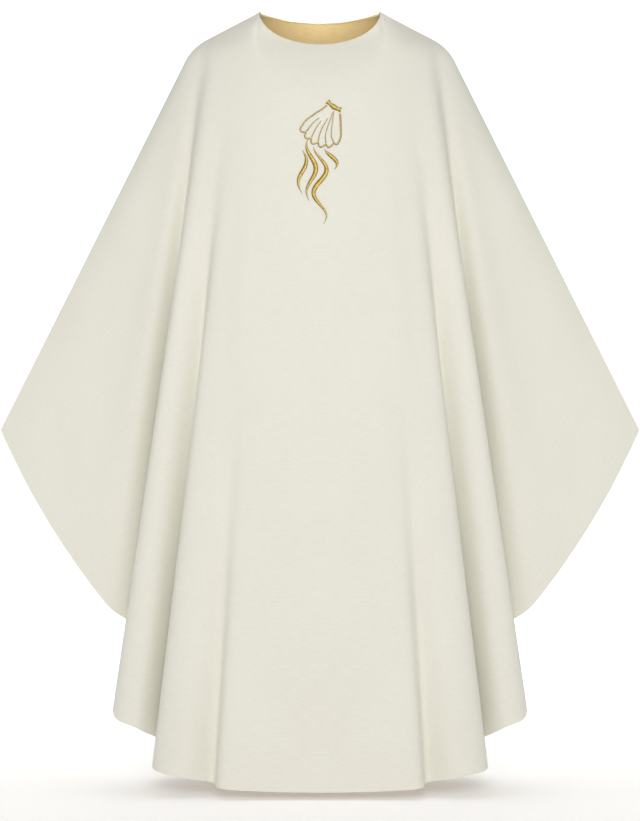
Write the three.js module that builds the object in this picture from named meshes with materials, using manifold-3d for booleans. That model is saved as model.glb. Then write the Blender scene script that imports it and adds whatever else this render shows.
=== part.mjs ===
// A lined chasuble with a round collarless neck, as it hangs on a wearer's shoulders.
// Millimetres, +Z up. The front faces -Y, and the wearer's left side is +X.
// The origin is midway between the two shoulder seams, at the height of the neck's sides.
import * as THREE from 'three';
import { mergeVertices } from 'three/addons/utils/BufferGeometryUtils.js';
import Module from 'manifold-3d';

const wasm = await Module();
wasm.setup();

// ---- Driving dimensions -------------------------------------------------------------------------

const NECK_HALF_WIDTH = 106;
const NECK_FRONT_DROP = 68;
const NECK_FRONT_POWER = 0.93; // under 1, the neckline is fuller than an oval from the front
const NECK_FRONT_ROUND = 170; // radius of the cloth's turn over the body, at the neck's front
const NECK_BACK_DROP = 8;
const NECK_BACK_POWER = 2; // over 1, it dips mostly in the middle
const NECK_BACK_ROUND = 85;
const NECK_BACK_RISE = 45; // how far the nape stands above the shoulders, under the back's turn
const NAPE_POWER = 4; // how late that rise starts, from the neck's side to its middle
const SHOULDER_HALF_WIDTH = 222; // to the corner where the shoulder turns down into the wing
const SHOULDER_DROP = 60;
const SHOULDER_ROUND = 60; // and over the shoulders
const SEAM_ROUND = 12; // and at the wing's seam
const SHOULDER_ROUNDING = 30; // how far each side of that corner the rounding starts
const WING_HALF_SPAN = 555;
const WING_TIP_DROP = 724;
const LENGTH = 1330; // from the origin down to the hem at the centre
const HEM_CURVE = 2.3; // how late the hem starts to rise towards the wings

const CLOTH = 1.2;
const TAPE = 0.6; // facings, backing and seam allowances
const LINING = 0.6;
const GAP = 0.3;
const LAYER_GAP = 0.5; // between the layers of cloth, which bend
const SEAM_SET_BACK = 1.2; // of the allowances, behind the panels they join
const SEAM_HALF_GAP = 0.2; // front and back panels stop this far from the seam's plane

const HEM_FACING = 30;
const SEAM_ALLOWANCE = 11;
const BINDING_HEIGHT = 1.8;
const BINDING_PROUD = 0.7; // how far the binding stands out past the cloth on each face
const CHEST_AT = 200; // distances down the cloth from the neck or the shoulder seam
const WAIST_AT = 600;

const WING_LIFT_PIVOT_DROP = 45; // the wearer's shoulder joint, below the rounded corner
const PIVOT_CLEARANCE = 6; // from the outer fold's edge, at the shoulder joint
const CUT_CLEARANCE = 12; // from that edge, at the hem
const WING_CAP_RADIUS = 80; // cloth this near the shoulder joint stays on the shoulder

const STITCH_HEIGHT = 1;
const OUTLINE_WIDTH = 2.4;
const RIB_WIDTH = 2;

const CREAM = new THREE.MeshStandardMaterial({ color: 0xe9e6db, roughness: 0.8, metalness: 0 });
const GOLD_LINING = new THREE.MeshStandardMaterial({ color: 0xd8bb7c, roughness: 0.55, metalness: 0 });
const WHITE_TAPE = new THREE.MeshStandardMaterial({ color: 0xf0eee8, roughness: 0.9, metalness: 0 });
const GOLD_THREAD = new THREE.MeshStandardMaterial({ color: 0xb98d2c, roughness: 0.4, metalness: 0.3 });

const FRONT = {
  sign: -1,
  drop: NECK_FRONT_DROP,
  dropPower: NECK_FRONT_POWER,
  round: NECK_FRONT_ROUND,
  rise: 0,
  fullness: [1, 1, 1, 1],
};
const BACK = {
  sign: 1,
  drop: NECK_BACK_DROP,
  dropPower: NECK_BACK_POWER,
  round: NECK_BACK_ROUND,
  rise: NECK_BACK_RISE,
  fullness: [0.8, 0.86, 0.84, 0.95],
};

// ---- How the cloth falls ------------------------------------------------------------------------
// Each line of cloth runs straight down from the neck or the shoulder seam to the hem.
// top: 0 is the neck's centre, 1 its side, and 2 the end of the rounded shoulder.
// span: the foot's place across, as a share of the wing's half span.
// edge: the foot's place along the hem, from the centre (0) to the wing's tip (1).
// depth: how far the cloth stands from the seam's plane at the shoulder, chest, waist and hem.

const CLOTH_LINES = [
  { name: 'centre', top: 0, span: 0, edge: 0, depth: [100, 122, 134, 162] },
  { name: 'panel', top: 0.28, span: 0.155, edge: 0.07, depth: [97, 120.5, 134, 162] },
  { name: 'panel crest', top: 0.58, span: 0.303, edge: 0.139, depth: [88, 113.5, 130, 162] },
  { name: 'inner valley', top: 0.8, span: 0.325, edge: 0.184, depth: [81.5, 109.5, 129, 123] },
  { name: 'inner fold', top: 1, span: 0.414, edge: 0.239, depth: [79.5, 106, 122, 150] },
  { name: 'inner fold edge', top: 1.2, span: 0.513, edge: 0.293, depth: [69, 97.5, 112, 124] },
  { name: 'middle valley', top: 1.3, span: 0.47, edge: 0.376, depth: [63.5, 93, 72, 34] },
  { name: 'outer fold', top: 1.42, span: 0.559, edge: 0.454, depth: [57, 89, 92, 92] },
  { name: 'outer fold edge', top: 1.56, span: 0.64, edge: 0.506, depth: [50, 81, 85, 70] },
  { name: 'wing valley', top: 1.64, span: 0.57, edge: 0.68, depth: [41, 42, 18, 12] },
  { name: 'wing ridge', top: 1.71, span: 0.655, edge: 0.737, depth: [38, 50, 50, 34] },
  { name: 'wing', top: 1.78, span: 0.775, edge: 0.823, depth: [31, 36, 34, 26] },
  { name: 'outer wing', top: 1.85, span: 0.888, edge: 0.908, depth: [24, 25, 20, 16] },
  { name: 'wing border', top: 1.92, span: 0.955, edge: 0.9625, depth: [14, 14, 11, 8] },
  { name: 'seam', top: 2, span: 1, edge: 1, depth: [0, 0, 0, 0] },
];
const LAST_LINE = CLOTH_LINES.length - 1;
const NECK_SIDE_LINE = CLOTH_LINES.findIndex((line) => line.top === 1);
const STEPS_PER_LINE = 2;
const LONGEST_ROW_STEP = 330; // between rows of points, so that the layers keep clear of each other

// Catmull-Rom through a list, at a place counted in list steps. The list goes on past its start
// as its own image, turned over for odd values, and past its end in a straight line.
function along(list, place, image) {
  const i = Math.min(Math.floor(place), list.length - 2);
  const f = place - i;
  const a = i > 0 ? list[i - 1] : image * list[1];
  const b = list[i];
  const c = list[i + 1];
  const d = i + 2 < list.length ? list[i + 2] : 2 * c - b;
  return b + 0.5 * f * (c - a + f * (2 * a - 5 * b + 4 * c - d + f * (3 * (b - c) + d - a)));
}

const lineValues = {
  top: CLOTH_LINES.map((line) => line.top),
  span: CLOTH_LINES.map((line) => line.span),
  edge: CLOTH_LINES.map((line) => line.edge),
  depth: [0, 1, 2, 3].map((k) => CLOTH_LINES.map((line) => line.depth[k])),
};

// A smooth curve through (xs, ys) whose slope at each point is that of its two neighbours.
function through(xs, ys, x) {
  const slope = (i) => {
    const a = Math.max(i - 1, 0);
    const b = Math.min(i + 1, xs.length - 1);
    return (ys[b] - ys[a]) / (xs[b] - xs[a]);
  };
  let i = 0;
  while (i < xs.length - 2 && x > xs[i + 1]) i += 1;
  const w = xs[i + 1] - xs[i];
  const f = (x - xs[i]) / w;
  const g = 1 - f;
  return ys[i] * g * g * (1 + 2 * f) + ys[i + 1] * f * f * (3 - 2 * f)
    + w * f * g * (slope(i) * g - slope(i + 1) * f);
}

// The shoulder seam seen from the front, from the neck's side (0) to the rounding's end (1).
const neckSide = new THREE.Vector2(NECK_HALF_WIDTH, 0);
const corner = new THREE.Vector2(SHOULDER_HALF_WIDTH, -SHOULDER_DROP);
const wingTip = new THREE.Vector2(WING_HALF_SPAN, -WING_TIP_DROP);
const roundingStart = corner.clone().add(neckSide.clone().sub(corner).setLength(SHOULDER_ROUNDING));
const roundingEnd = corner.clone().add(wingTip.clone().sub(corner).setLength(SHOULDER_ROUNDING));
const shoulderSeam = new THREE.CurvePath();
shoulderSeam.add(new THREE.LineCurve(neckSide, roundingStart));
shoulderSeam.add(new THREE.QuadraticBezierCurve(roundingStart, corner, roundingEnd));

// Where a line of cloth starts, seen from the front, and how far that is below the shoulders.
function topOf(face, top) {
  if (top >= 1) {
    const p = shoulderSeam.getPoint(Math.min(top - 1, 1));
    return { x: p.x, z: p.y, below: 0, front: 0 };
  }
  const turn = (top * Math.PI) / 2;
  const front = Math.max(Math.cos(turn), 0);
  const below = face.drop * front ** face.dropPower;
  return { x: NECK_HALF_WIDTH * Math.sin(turn), z: -below, below, front };
}

function lineAt(face, place) {
  const top = topOf(face, along(lineValues.top, place, -1));
  const edge = Math.max(along(lineValues.edge, place, -1), 0);
  const foot = {
    x: WING_HALF_SPAN * along(lineValues.span, place, -1),
    z: -LENGTH + (LENGTH - WING_TIP_DROP) * edge ** HEM_CURVE,
  };
  const depth = lineValues.depth.map((list, k) => along(list, place, 1) * face.fullness[k]);
  return { top, foot, depth, length: Math.hypot(foot.x - top.x, foot.z - top.z) };
}

// The distances down a line at which the cloth has a row of points.
const TOP_ROWS = [0, 7, 22, 60, 150, 310];
const BACKING_ROWS = [3, 5];
const TOP_END = TOP_ROWS[TOP_ROWS.length - 1];
const LOWER_ROWS = Math.ceil((LENGTH - HEM_FACING - TOP_END) / LONGEST_ROW_STEP);
const LAST_ROW = TOP_ROWS.length + LOWER_ROWS;
function rowsOf(length) {
  const step = (length - HEM_FACING - TOP_END) / LOWER_ROWS;
  const lower = Array.from({ length: LOWER_ROWS }, (_, i) => TOP_END + (i + 1) * step);
  return [...TOP_ROWS, ...lower, length];
}

function pointOn(face, side, place, row) {
  const line = lineAt(face, place);
  const down = rowsOf(line.length)[row];
  const share = down / line.length;
  const x = line.top.x + (line.foot.x - line.top.x) * share;
  const z = line.top.z + (line.foot.z - line.top.z) * share;
  const above = line.top.below + face.rise * line.top.front ** NAPE_POWER;
  const fallen = above + down;
  const body = through([0, CHEST_AT, WAIST_AT, above + line.length], line.depth, fallen);
  const sideRound = THREE.MathUtils.clamp(line.depth[0], SEAM_ROUND, SHOULDER_ROUND);
  const round = sideRound + (face.round - sideRound) * line.top.front;
  const over = Math.min(fallen / round, 1);
  const depth = body * Math.sqrt(1 - (1 - over) ** 2);
  return new THREE.Vector3(side * x, face.sign * Math.max(depth, SEAM_HALF_GAP), z);
}

// The cloth's outer face as a grid: grid[row][column], columns from the right seam to the left one.
function clothGrid(face) {
  const half = LAST_LINE * STEPS_PER_LINE;
  const grid = [];
  for (let row = 0; row <= LAST_ROW; row += 1) {
    const points = [];
    for (let c = -half; c <= half; c += 1) {
      points.push(pointOn(face, Math.sign(c) || 1, Math.abs(c) / STEPS_PER_LINE, row));
    }
    grid.push(points);
  }
  return grid;
}

// Outward normals of a grid. On the seams they lie in the seam's plane, square to the seam.
function gridNormals(grid, face) {
  const half = LAST_LINE * STEPS_PER_LINE;
  const neck = NECK_SIDE_LINE * STEPS_PER_LINE;
  const seamNormal = (before, after, side) => {
    const tangent = after.clone().sub(before);
    return new THREE.Vector3(-side * tangent.z, 0, side * tangent.x).normalize();
  };
  return grid.map((points, r) => points.map((p, c) => {
    const side = c < half ? -1 : 1;
    const seamColumn = half + side * half;
    if (c === seamColumn) {
      const before = r > 0 ? grid[r - 1][c] : points[c - side];
      return seamNormal(before, r < LAST_ROW ? grid[r + 1][c] : p, side);
    }
    if (r === 0 && Math.abs(c - half) >= neck) {
      const before = Math.abs(c - half) > neck ? points[c - side] : p;
      return seamNormal(before, points[c + side], side);
    }
    const across = points[c + 1].clone().sub(points[c - 1]);
    const down = grid[Math.min(r + 1, LAST_ROW)][c].clone().sub(grid[Math.max(r - 1, 0)][c]);
    return across.cross(down).multiplyScalar(face.sign).normalize();
  }));
}

const sheets = [FRONT, BACK].map((face) => {
  const grid = clothGrid(face);
  return { face, grid, normals: gridNormals(grid, face) };
});
const [frontSheet, backSheet] = sheets;

// ---- Solids -------------------------------------------------------------------------------------

function geometryOf(points, triangles) {
  const g = new THREE.BufferGeometry();
  g.setAttribute('position', new THREE.Float32BufferAttribute(points.flatMap((p) => [p.x, p.y, p.z]), 3));
  g.setIndex(triangles.flat());
  return g;
}

// A closed solid from two layers of points with the same rows and columns.
// The outer layer's triangles face out when its rows run down and its columns run right to left.
function layerSolid(outer, inner, flip) {
  const rows = outer.length;
  const columns = outer[0].length;
  const points = [...outer.flat(), ...inner.flat()];
  const back = rows * columns;
  const triangles = [];
  const turned = ([a, b, c]) => (flip ? [a, c, b] : [a, b, c]);
  const quad = (a, b, c, d, mirrored = false) => {
    const split = mirrored ? [[a, b, d], [b, c, d]] : [[a, b, c], [a, c, d]];
    triangles.push(...split.map(turned));
  };
  for (let r = 0; r < rows - 1; r += 1) {
    for (let c = 0; c < columns - 1; c += 1) {
      const i = r * columns + c;
      const mirrored = 2 * c >= columns - 1;
      quad(i, i + columns, i + columns + 1, i + 1, mirrored);
      quad(back + i + 1, back + i + columns + 1, back + i + columns, back + i, !mirrored);
    }
  }
  for (let c = 0; c < columns - 1; c += 1) {
    const i = (rows - 1) * columns + c;
    quad(c, c + 1, back + c + 1, back + c);
    quad(i, back + i, back + i + 1, i + 1);
  }
  for (let r = 0; r < rows - 1; r += 1) {
    const i = r * columns;
    const j = i + columns - 1;
    quad(i, back + i, back + i + columns, i + columns);
    quad(j, j + columns, back + j + columns, back + j);
  }
  return geometryOf(points, triangles);
}

// A layer of the garment: part of a sheet's grid, between two depths below its outer face.
function clothLayer(sheet, from, thickness, rows, columns) {
  const cut = (depth) => sheet.grid.slice(rows[0], rows[1] + 1).map((points, r) => points
    .slice(columns[0], columns[1] + 1)
    .map((p, c) => p.clone().addScaledVector(sheet.normals[rows[0] + r][columns[0] + c], -depth)));
  return layerSolid(cut(from), cut(from + thickness), sheet.face.sign > 0);
}

const HALF = LAST_LINE * STEPS_PER_LINE;
const ALL_ROWS = [0, LAST_ROW];
const ALL_COLUMNS = [0, 2 * HALF];
const INNER_COLUMNS = [1, 2 * HALF - 1];
const NECK_COLUMNS = [HALF - NECK_SIDE_LINE * STEPS_PER_LINE, HALF + NECK_SIDE_LINE * STEPS_PER_LINE];
const FACING_AT = CLOTH + LAYER_GAP;
const LINING_AT = FACING_AT + TAPE + LAYER_GAP;

const panel = (sheet) => clothLayer(sheet, 0, CLOTH, ALL_ROWS, ALL_COLUMNS);
const lining = (sheet) => clothLayer(sheet, LINING_AT, LINING, [1, LAST_ROW - 1], INNER_COLUMNS);
const hemFacing = (sheet) => clothLayer(sheet, FACING_AT, TAPE, [LAST_ROW - 1, LAST_ROW], INNER_COLUMNS);
const neckFacing = (sheet) => clothLayer(sheet, FACING_AT, TAPE, [0, 3], NECK_COLUMNS);
const backingColumns = [HALF - STEPS_PER_LINE, HALF + STEPS_PER_LINE];
const embroideryBacking = () => clothLayer(frontSheet, FACING_AT, TAPE, BACKING_ROWS, backingColumns);

// The binding round the neck: a closed band that sits on the edges of both panels.
// With room, it is the space that the cloth has to leave for it.
function neckBinding(room = 0) {
  const stations = [];
  const add = (sheet, c) => {
    const p = sheet.grid[0][c];
    const normal = sheet.normals[0][c];
    stations.push({ p, normal });
  };
  for (let c = NECK_COLUMNS[0]; c <= NECK_COLUMNS[1]; c += 1) add(frontSheet, c);
  for (let c = NECK_COLUMNS[1] - 1; c > NECK_COLUMNS[0]; c -= 1) add(backSheet, c);
  const n = stations.length;
  const points = stations.flatMap(({ p, normal }, i) => {
    const tangent = stations[(i + 1) % n].p.clone().sub(stations[(i + n - 1) % n].p).normalize();
    const inward = normal.clone().cross(tangent).normalize();
    const out = tangent.clone().cross(inward).normalize();
    if (out.dot(normal) < 0) out.negate();
    const seat = [LAYER_GAP - room, LAYER_GAP + BINDING_HEIGHT + room];
    const faces = [BINDING_PROUD + room, -LINING_AT - LINING - BINDING_PROUD - room];
    const at = (up, off) => p.clone().addScaledVector(inward, up).addScaledVector(out, off);
    return [at(seat[0], faces[0]), at(seat[1], faces[0]), at(seat[1], faces[1]), at(seat[0], faces[1])];
  });
  const triangles = [];
  for (let i = 0; i < n; i += 1) {
    for (let k = 0; k < 4; k += 1) {
      const a = i * 4 + k;
      const b = i * 4 + ((k + 1) % 4);
      const c = ((i + 1) % n) * 4 + ((k + 1) % 4);
      const d = ((i + 1) % n) * 4 + k;
      triangles.push([a, d, c], [a, c, b]);
    }
  }
  return geometryOf(points, triangles);
}

// The joined seam allowances: a thin fin that hangs inside, under the shoulder and wing seam.
function seamAllowance(side) {
  const edge = [];
  const column = side > 0 ? 2 * HALF : 0;
  const neckColumn = NECK_COLUMNS[side > 0 ? 1 : 0];
  const { grid, normals } = frontSheet;
  for (let c = neckColumn + side; c !== column; c += side) edge.push([grid[0][c], normals[0][c]]);
  for (let r = 0; r < LAST_ROW; r += 1) edge.push([grid[r][column], normals[r][column]]);
  const inset = CLOTH + SEAM_SET_BACK;
  const layer = (y) => [inset, inset + SEAM_ALLOWANCE].map((depth) => edge.map(([p, normal]) => {
    const q = p.clone().addScaledVector(normal, -depth);
    q.y = y;
    return q;
  }));
  return layerSolid(layer(-TAPE / 2), layer(TAPE / 2), side < 0);
}

// ---- Embroidery ---------------------------------------------------------------------------------

// The depth of the front panel's outer face at a point seen from the front.
const frontTriangles = (() => {
  const found = [];
  const { grid } = frontSheet;
  for (let r = 0; r < LAST_ROW; r += 1) {
    for (let c = NECK_COLUMNS[0]; c < NECK_COLUMNS[1]; c += 1) {
      found.push([grid[r][c], grid[r + 1][c], grid[r + 1][c + 1]]);
      found.push([grid[r][c], grid[r + 1][c + 1], grid[r][c + 1]]);
    }
  }
  return found;
})();

function onFront(x, z, lift) {
  for (const [a, b, c] of frontTriangles) {
    const area = (b.x - a.x) * (c.z - a.z) - (c.x - a.x) * (b.z - a.z);
    const u = ((x - a.x) * (c.z - a.z) - (c.x - a.x) * (z - a.z)) / area;
    const v = ((b.x - a.x) * (z - a.z) - (x - a.x) * (b.z - a.z)) / area;
    if (u >= -1e-6 && v >= -1e-6 && u + v <= 1 + 1e-6) {
      return new THREE.Vector3(x, a.y + u * (b.y - a.y) + v * (c.y - a.y) - lift, z);
    }
  }
  throw new Error(`the motif runs off the front panel at ${x}, ${z}`);
}

// A column of satin stitch along a curve on the front panel, as wide as width says at each share.
function satin(curve, width, pieces) {
  const top = [[], []];
  const base = [[], []];
  for (let i = 0; i <= pieces; i += 1) {
    const p = curve.getPoint(i / pieces);
    const t = curve.getTangent(i / pieces);
    [-1, 1].forEach((s, k) => {
      const x = p.x - (s * t.y * width(i / pieces)) / 2;
      const z = p.y + (s * t.x * width(i / pieces)) / 2;
      top[k].push(onFront(x, z, GAP + STITCH_HEIGHT));
      base[k].push(onFront(x, z, GAP));
    });
  }
  return layerSolid(top, base, true);
}

// A scallop shell that leans to the wearer's right, opening downwards from its hinge.
const SHELL_HINGE = new THREE.Vector2(24, -180);
const SHELL_LENGTH = 64;
const SHELL_LOBES = 6;
const SHELL_FROM = THREE.MathUtils.degToRad(207);
const SHELL_TO = THREE.MathUtils.degToRad(281);
const HINGE_HALF_LENGTH = 13.5;
const HINGE_TILT = THREE.MathUtils.degToRad(-31);
const MOTIF_GAP = 0.5;

const lobeTurn = (i) => SHELL_FROM + ((SHELL_TO - SHELL_FROM) * i) / SHELL_LOBES;
const lobeReach = (i) => {
  const f = i / SHELL_LOBES;
  return SHELL_LENGTH * (1 + 0.05 * Math.sin(Math.PI * f) - 0.16 * f ** 4);
};
const fromHinge = (turn, reach) => SHELL_HINGE.clone()
  .add(new THREE.Vector2(Math.cos(turn), Math.sin(turn)).multiplyScalar(reach));

function shellOutline() {
  const path = [[-0.92, 0.21], [-0.43, 0.32], [-0.23, 0.5], [-0.08, 0.8]]
    .map(([turn, reach]) => fromHinge(SHELL_FROM + turn, SHELL_LENGTH * reach));
  for (let i = 0; i < SHELL_LOBES; i += 1) {
    path.push(fromHinge(lobeTurn(i + 0.08), lobeReach(i) * 0.96));
    path.push(fromHinge(lobeTurn(i + 0.25), lobeReach(i + 0.25) * 1.02));
    path.push(fromHinge(lobeTurn(i + 0.5), lobeReach(i + 0.5) * 1.05));
    path.push(fromHinge(lobeTurn(i + 0.75), lobeReach(i + 0.75) * 1.02));
  }
  path.push(...[[0.01, 0.8], [0.06, 0.7], [0.155, 0.5], [0.37, 0.3], [0.648, 0.208]]
    .map(([turn, reach]) => fromHinge(SHELL_TO + turn, SHELL_LENGTH * reach)));
  const thicker = (f) => OUTLINE_WIDTH * (1 + 0.5 * f ** 8);
  return satin(new THREE.SplineCurve(path), thicker, 96);
}

function shellRib(i) {
  const start = fromHinge(lobeTurn(i) - 0.14, SHELL_LENGTH * (0.28 + 0.22 * Math.sin(i)));
  const bend = fromHinge(lobeTurn(i) - 0.09, SHELL_LENGTH * 0.68);
  const end = fromHinge(lobeTurn(i), lobeReach(i) * 0.96 - OUTLINE_WIDTH / 2 - RIB_WIDTH / 2 - MOTIF_GAP);
  const taper = (f) => RIB_WIDTH * (0.6 + 0.4 * f);
  return satin(new THREE.SplineCurve([start, bend, end]), taper, 8);
}

function shellHinge() {
  const bar = new THREE.Vector2(Math.cos(HINGE_TILT), Math.sin(HINGE_TILT));
  const at = (f, up) => SHELL_HINGE.clone().addScaledVector(bar, f * HINGE_HALF_LENGTH)
    .add(new THREE.Vector2(0, up));
  const width = (f) => 7.5 + 1.5 * Math.cos(4 * Math.PI * f);
  return satin(new THREE.SplineCurve([at(-1, 6), at(-0.45, 3.5), at(0.35, 3), at(1, 5)]), width, 12);
}

// Four streams of water that fall from the shell, thin at both ends and thick between.
// base and top are measured from the shell's hinge.
const WATER = [
  { name: 'water_outer_right', base: -54, top: -70, length: 74, sway: 7, waves: 1, phase: 0, width: 7 },
  { name: 'water_long_right', base: -39, top: -53, length: 103, sway: 8, waves: 1.3, phase: -2.3, width: 8 },
  { name: 'water_centre', base: -24, top: -65, length: 130, sway: 11, waves: 1.65, phase: -1.5, width: 8 },
  { name: 'water_short_left', base: -6, top: -69, length: 34, sway: 11, waves: 0.6, phase: -1.2, width: 7 },
];

function waterStream({ base, top, length, sway, waves, phase, width }) {
  const steps = 12;
  const path = [];
  for (let i = 0; i <= steps; i += 1) {
    const f = i / steps;
    const x = base + sway * Math.sin(2 * Math.PI * waves * f + phase);
    path.push(SHELL_HINGE.clone().add(new THREE.Vector2(x, top - length * f)));
  }
  const swell = (f) => 0.8 + (width - 0.8) * Math.sin(Math.PI * f ** 0.85) ** 1.3;
  return satin(new THREE.SplineCurve(path), swell, 24);
}

// ---- Wings that lift ----------------------------------------------------------------------------

function solidFrom(geometry) {
  const plain = geometry.clone();
  plain.deleteAttribute('normal');
  plain.deleteAttribute('uv');
  const merged = mergeVertices(plain, 1e-4);
  const mesh = new wasm.Mesh({
    numProp: 3,
    vertProperties: merged.attributes.position.array,
    triVerts: new Uint32Array(merged.index.array),
  });
  return new wasm.Manifold(mesh);
}

function geometryFrom(solid) {
  const mesh = solid.getMesh();
  const g = new THREE.BufferGeometry();
  const positions = [];
  for (let i = 0; i < mesh.numVert; i += 1) {
    positions.push(...mesh.vertProperties.subarray(i * mesh.numProp, i * mesh.numProp + 3));
  }
  g.setAttribute('position', new THREE.Float32BufferAttribute(positions, 3));
  g.setIndex([...mesh.triVerts]);
  return g;
}

// The wearer's shoulder joint, on the outer fold's own line, so that the wing turns away from it.
const foldEdge = lineAt(FRONT, CLOTH_LINES.findIndex((line) => line.name === 'outer fold edge'));
const foldSlope = (foldEdge.foot.x - foldEdge.top.x) / (foldEdge.top.z - foldEdge.foot.z);
const pivot = new THREE.Vector2();
pivot.y = corner.y - WING_LIFT_PIVOT_DROP;
pivot.x = foldEdge.top.x + (foldEdge.top.z - pivot.y) * foldSlope + PIVOT_CLEARANCE;
const cutTurn = Math.atan2(foldEdge.foot.x + CUT_CLEARANCE - pivot.x, pivot.y - foldEdge.foot.z);

// The region of a wing, as a block that runs right through the garment from front to back.
function wingRegion(side, grow) {
  const far = 2 * LENGTH;
  const radius = WING_CAP_RADIUS - grow;
  const inner = new THREE.Vector2(Math.sin(cutTurn), -Math.cos(cutTurn));
  const start = pivot.clone().addScaledVector(inner, radius).add(new THREE.Vector2(-grow, 0));
  const foot = pivot.clone().addScaledVector(inner, far).add(new THREE.Vector2(-grow, 0));
  const shape = new THREE.Shape();
  shape.moveTo(start.x, start.y);
  shape.lineTo(foot.x, foot.y);
  shape.lineTo(far, -far);
  shape.lineTo(far, pivot.y);
  shape.lineTo(pivot.x + radius, pivot.y);
  shape.absarc(pivot.x, pivot.y, radius, 0, cutTurn - Math.PI / 2, true);
  const block = new THREE.ExtrudeGeometry(shape, { depth: far, bevelEnabled: false, curveSegments: 16 });
  block.rotateX(Math.PI / 2).translate(0, far / 2, 0);
  return side > 0 ? solidFrom(block) : solidFrom(block).mirror([1, 0, 0]);
}

const SIDES = [{ name: 'left', sign: 1 }, { name: 'right', sign: -1 }];
const wingRegions = SIDES.map((side) => ({
  name: side.name,
  inside: wingRegion(side.sign, 0),
  grown: wingRegion(side.sign, GAP),
}));

const bindingRoom = solidFrom(neckBinding(GAP));
const clearOfBinding = (geometry) => solidFrom(geometry).subtract(bindingRoom);

// Cuts a layer of cloth into the part on the body and the parts on the wings.
function withWings(geometry, wings) {
  const whole = clearOfBinding(geometry);
  const body = wings.reduce((rest, wing) => rest.subtract(wing.grown), whole);
  const parts = { body: geometryFrom(body) };
  for (const wing of wings) parts[wing.name] = geometryFrom(whole.intersect(wing.inside));
  return parts;
}

// ---- The garment --------------------------------------------------------------------------------

const chasuble = new THREE.Group();
const bodyGroup = new THREE.Group();
const wingGroups = { left: new THREE.Group(), right: new THREE.Group() };
chasuble.add(bodyGroup, wingGroups.left, wingGroups.right);

function addMesh(group, name, geometry, material) {
  const mesh = new THREE.Mesh(geometry, material);
  mesh.name = name;
  group.add(mesh);
}

function addWithWings(name, geometry, material, wings = wingRegions, wingPart = name) {
  const parts = withWings(geometry, wings);
  addMesh(bodyGroup, name, parts.body, material);
  for (const wing of wings) {
    addMesh(wingGroups[wing.name], `${wing.name}_wing_${wingPart}`, parts[wing.name], material);
  }
}

for (const [word, sheet] of [['front', frontSheet], ['back', backSheet]]) {
  addWithWings(`${word}_panel`, panel(sheet), CREAM);
  addWithWings(`${word}_lining`, lining(sheet), GOLD_LINING);
  addWithWings(`${word}_hem_facing`, hemFacing(sheet), CREAM);
  addMesh(bodyGroup, `${word}_neck_facing`, geometryFrom(clearOfBinding(neckFacing(sheet))), WHITE_TAPE);
}
for (const [i, side] of SIDES.entries()) {
  const seam = seamAllowance(side.sign);
  addWithWings(`${side.name}_shoulder_seam`, seam, WHITE_TAPE, [wingRegions[i]], 'seam');
}
addMesh(bodyGroup, 'neck_binding', neckBinding(), CREAM);
addMesh(bodyGroup, 'embroidery_backing', embroideryBacking(), WHITE_TAPE);
addMesh(bodyGroup, 'shell_hinge', shellHinge(), GOLD_THREAD);
addMesh(bodyGroup, 'shell_outline', shellOutline(), GOLD_THREAD);
for (let i = 1; i < SHELL_LOBES; i += 1) addMesh(bodyGroup, `shell_rib_${i}`, shellRib(i), GOLD_THREAD);
for (const stream of WATER) addMesh(bodyGroup, stream.name, waterStream(stream), GOLD_THREAD);

export default chasuble;
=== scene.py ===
# %% [markdown]
# # A lined chasuble, hanging as it is worn
# A chasuble is a very wide poncho of two equal pieces of cloth, joined only along the shoulders
# and down the wings. All of its shape comes from how that cloth falls. The lesson builds each
# layer of cloth as its own mesh from one rule for the fall, so that the layers fit each other.
# Sizes are in metres. The front faces -Y, and the wearer's left side is +X.

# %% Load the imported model
import math

import bpy
import numpy as np
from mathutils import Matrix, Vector
from mathutils.bvhtree import BVHTree


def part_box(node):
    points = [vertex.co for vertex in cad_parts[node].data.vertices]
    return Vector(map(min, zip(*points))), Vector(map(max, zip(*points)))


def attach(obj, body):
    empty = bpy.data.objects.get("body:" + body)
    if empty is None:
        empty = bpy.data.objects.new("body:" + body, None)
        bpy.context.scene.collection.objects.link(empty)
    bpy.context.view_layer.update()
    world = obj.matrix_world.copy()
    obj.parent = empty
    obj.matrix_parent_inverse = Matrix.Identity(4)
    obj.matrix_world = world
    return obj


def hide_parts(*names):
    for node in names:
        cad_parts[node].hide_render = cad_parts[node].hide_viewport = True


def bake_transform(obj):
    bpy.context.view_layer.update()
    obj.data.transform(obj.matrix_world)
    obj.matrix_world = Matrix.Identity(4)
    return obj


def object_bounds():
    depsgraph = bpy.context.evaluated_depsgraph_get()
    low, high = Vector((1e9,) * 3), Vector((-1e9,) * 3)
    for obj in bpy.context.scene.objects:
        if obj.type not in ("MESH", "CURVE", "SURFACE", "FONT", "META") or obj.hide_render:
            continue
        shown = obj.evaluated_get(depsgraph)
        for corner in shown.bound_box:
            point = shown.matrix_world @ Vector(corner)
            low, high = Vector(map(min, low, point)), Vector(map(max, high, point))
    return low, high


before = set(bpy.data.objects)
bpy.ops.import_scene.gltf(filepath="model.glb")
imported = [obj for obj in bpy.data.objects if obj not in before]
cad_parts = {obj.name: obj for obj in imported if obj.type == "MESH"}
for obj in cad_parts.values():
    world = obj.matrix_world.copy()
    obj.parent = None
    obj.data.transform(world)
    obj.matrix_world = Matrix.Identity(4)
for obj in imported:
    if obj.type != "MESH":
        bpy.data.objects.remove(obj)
cad_box = [list(map(float, corner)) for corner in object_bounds()]

# %% [markdown]
# ## Sizes from the fixed model
# The boxes of the fixed parts give the main sizes, so that nothing is measured twice.

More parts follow.
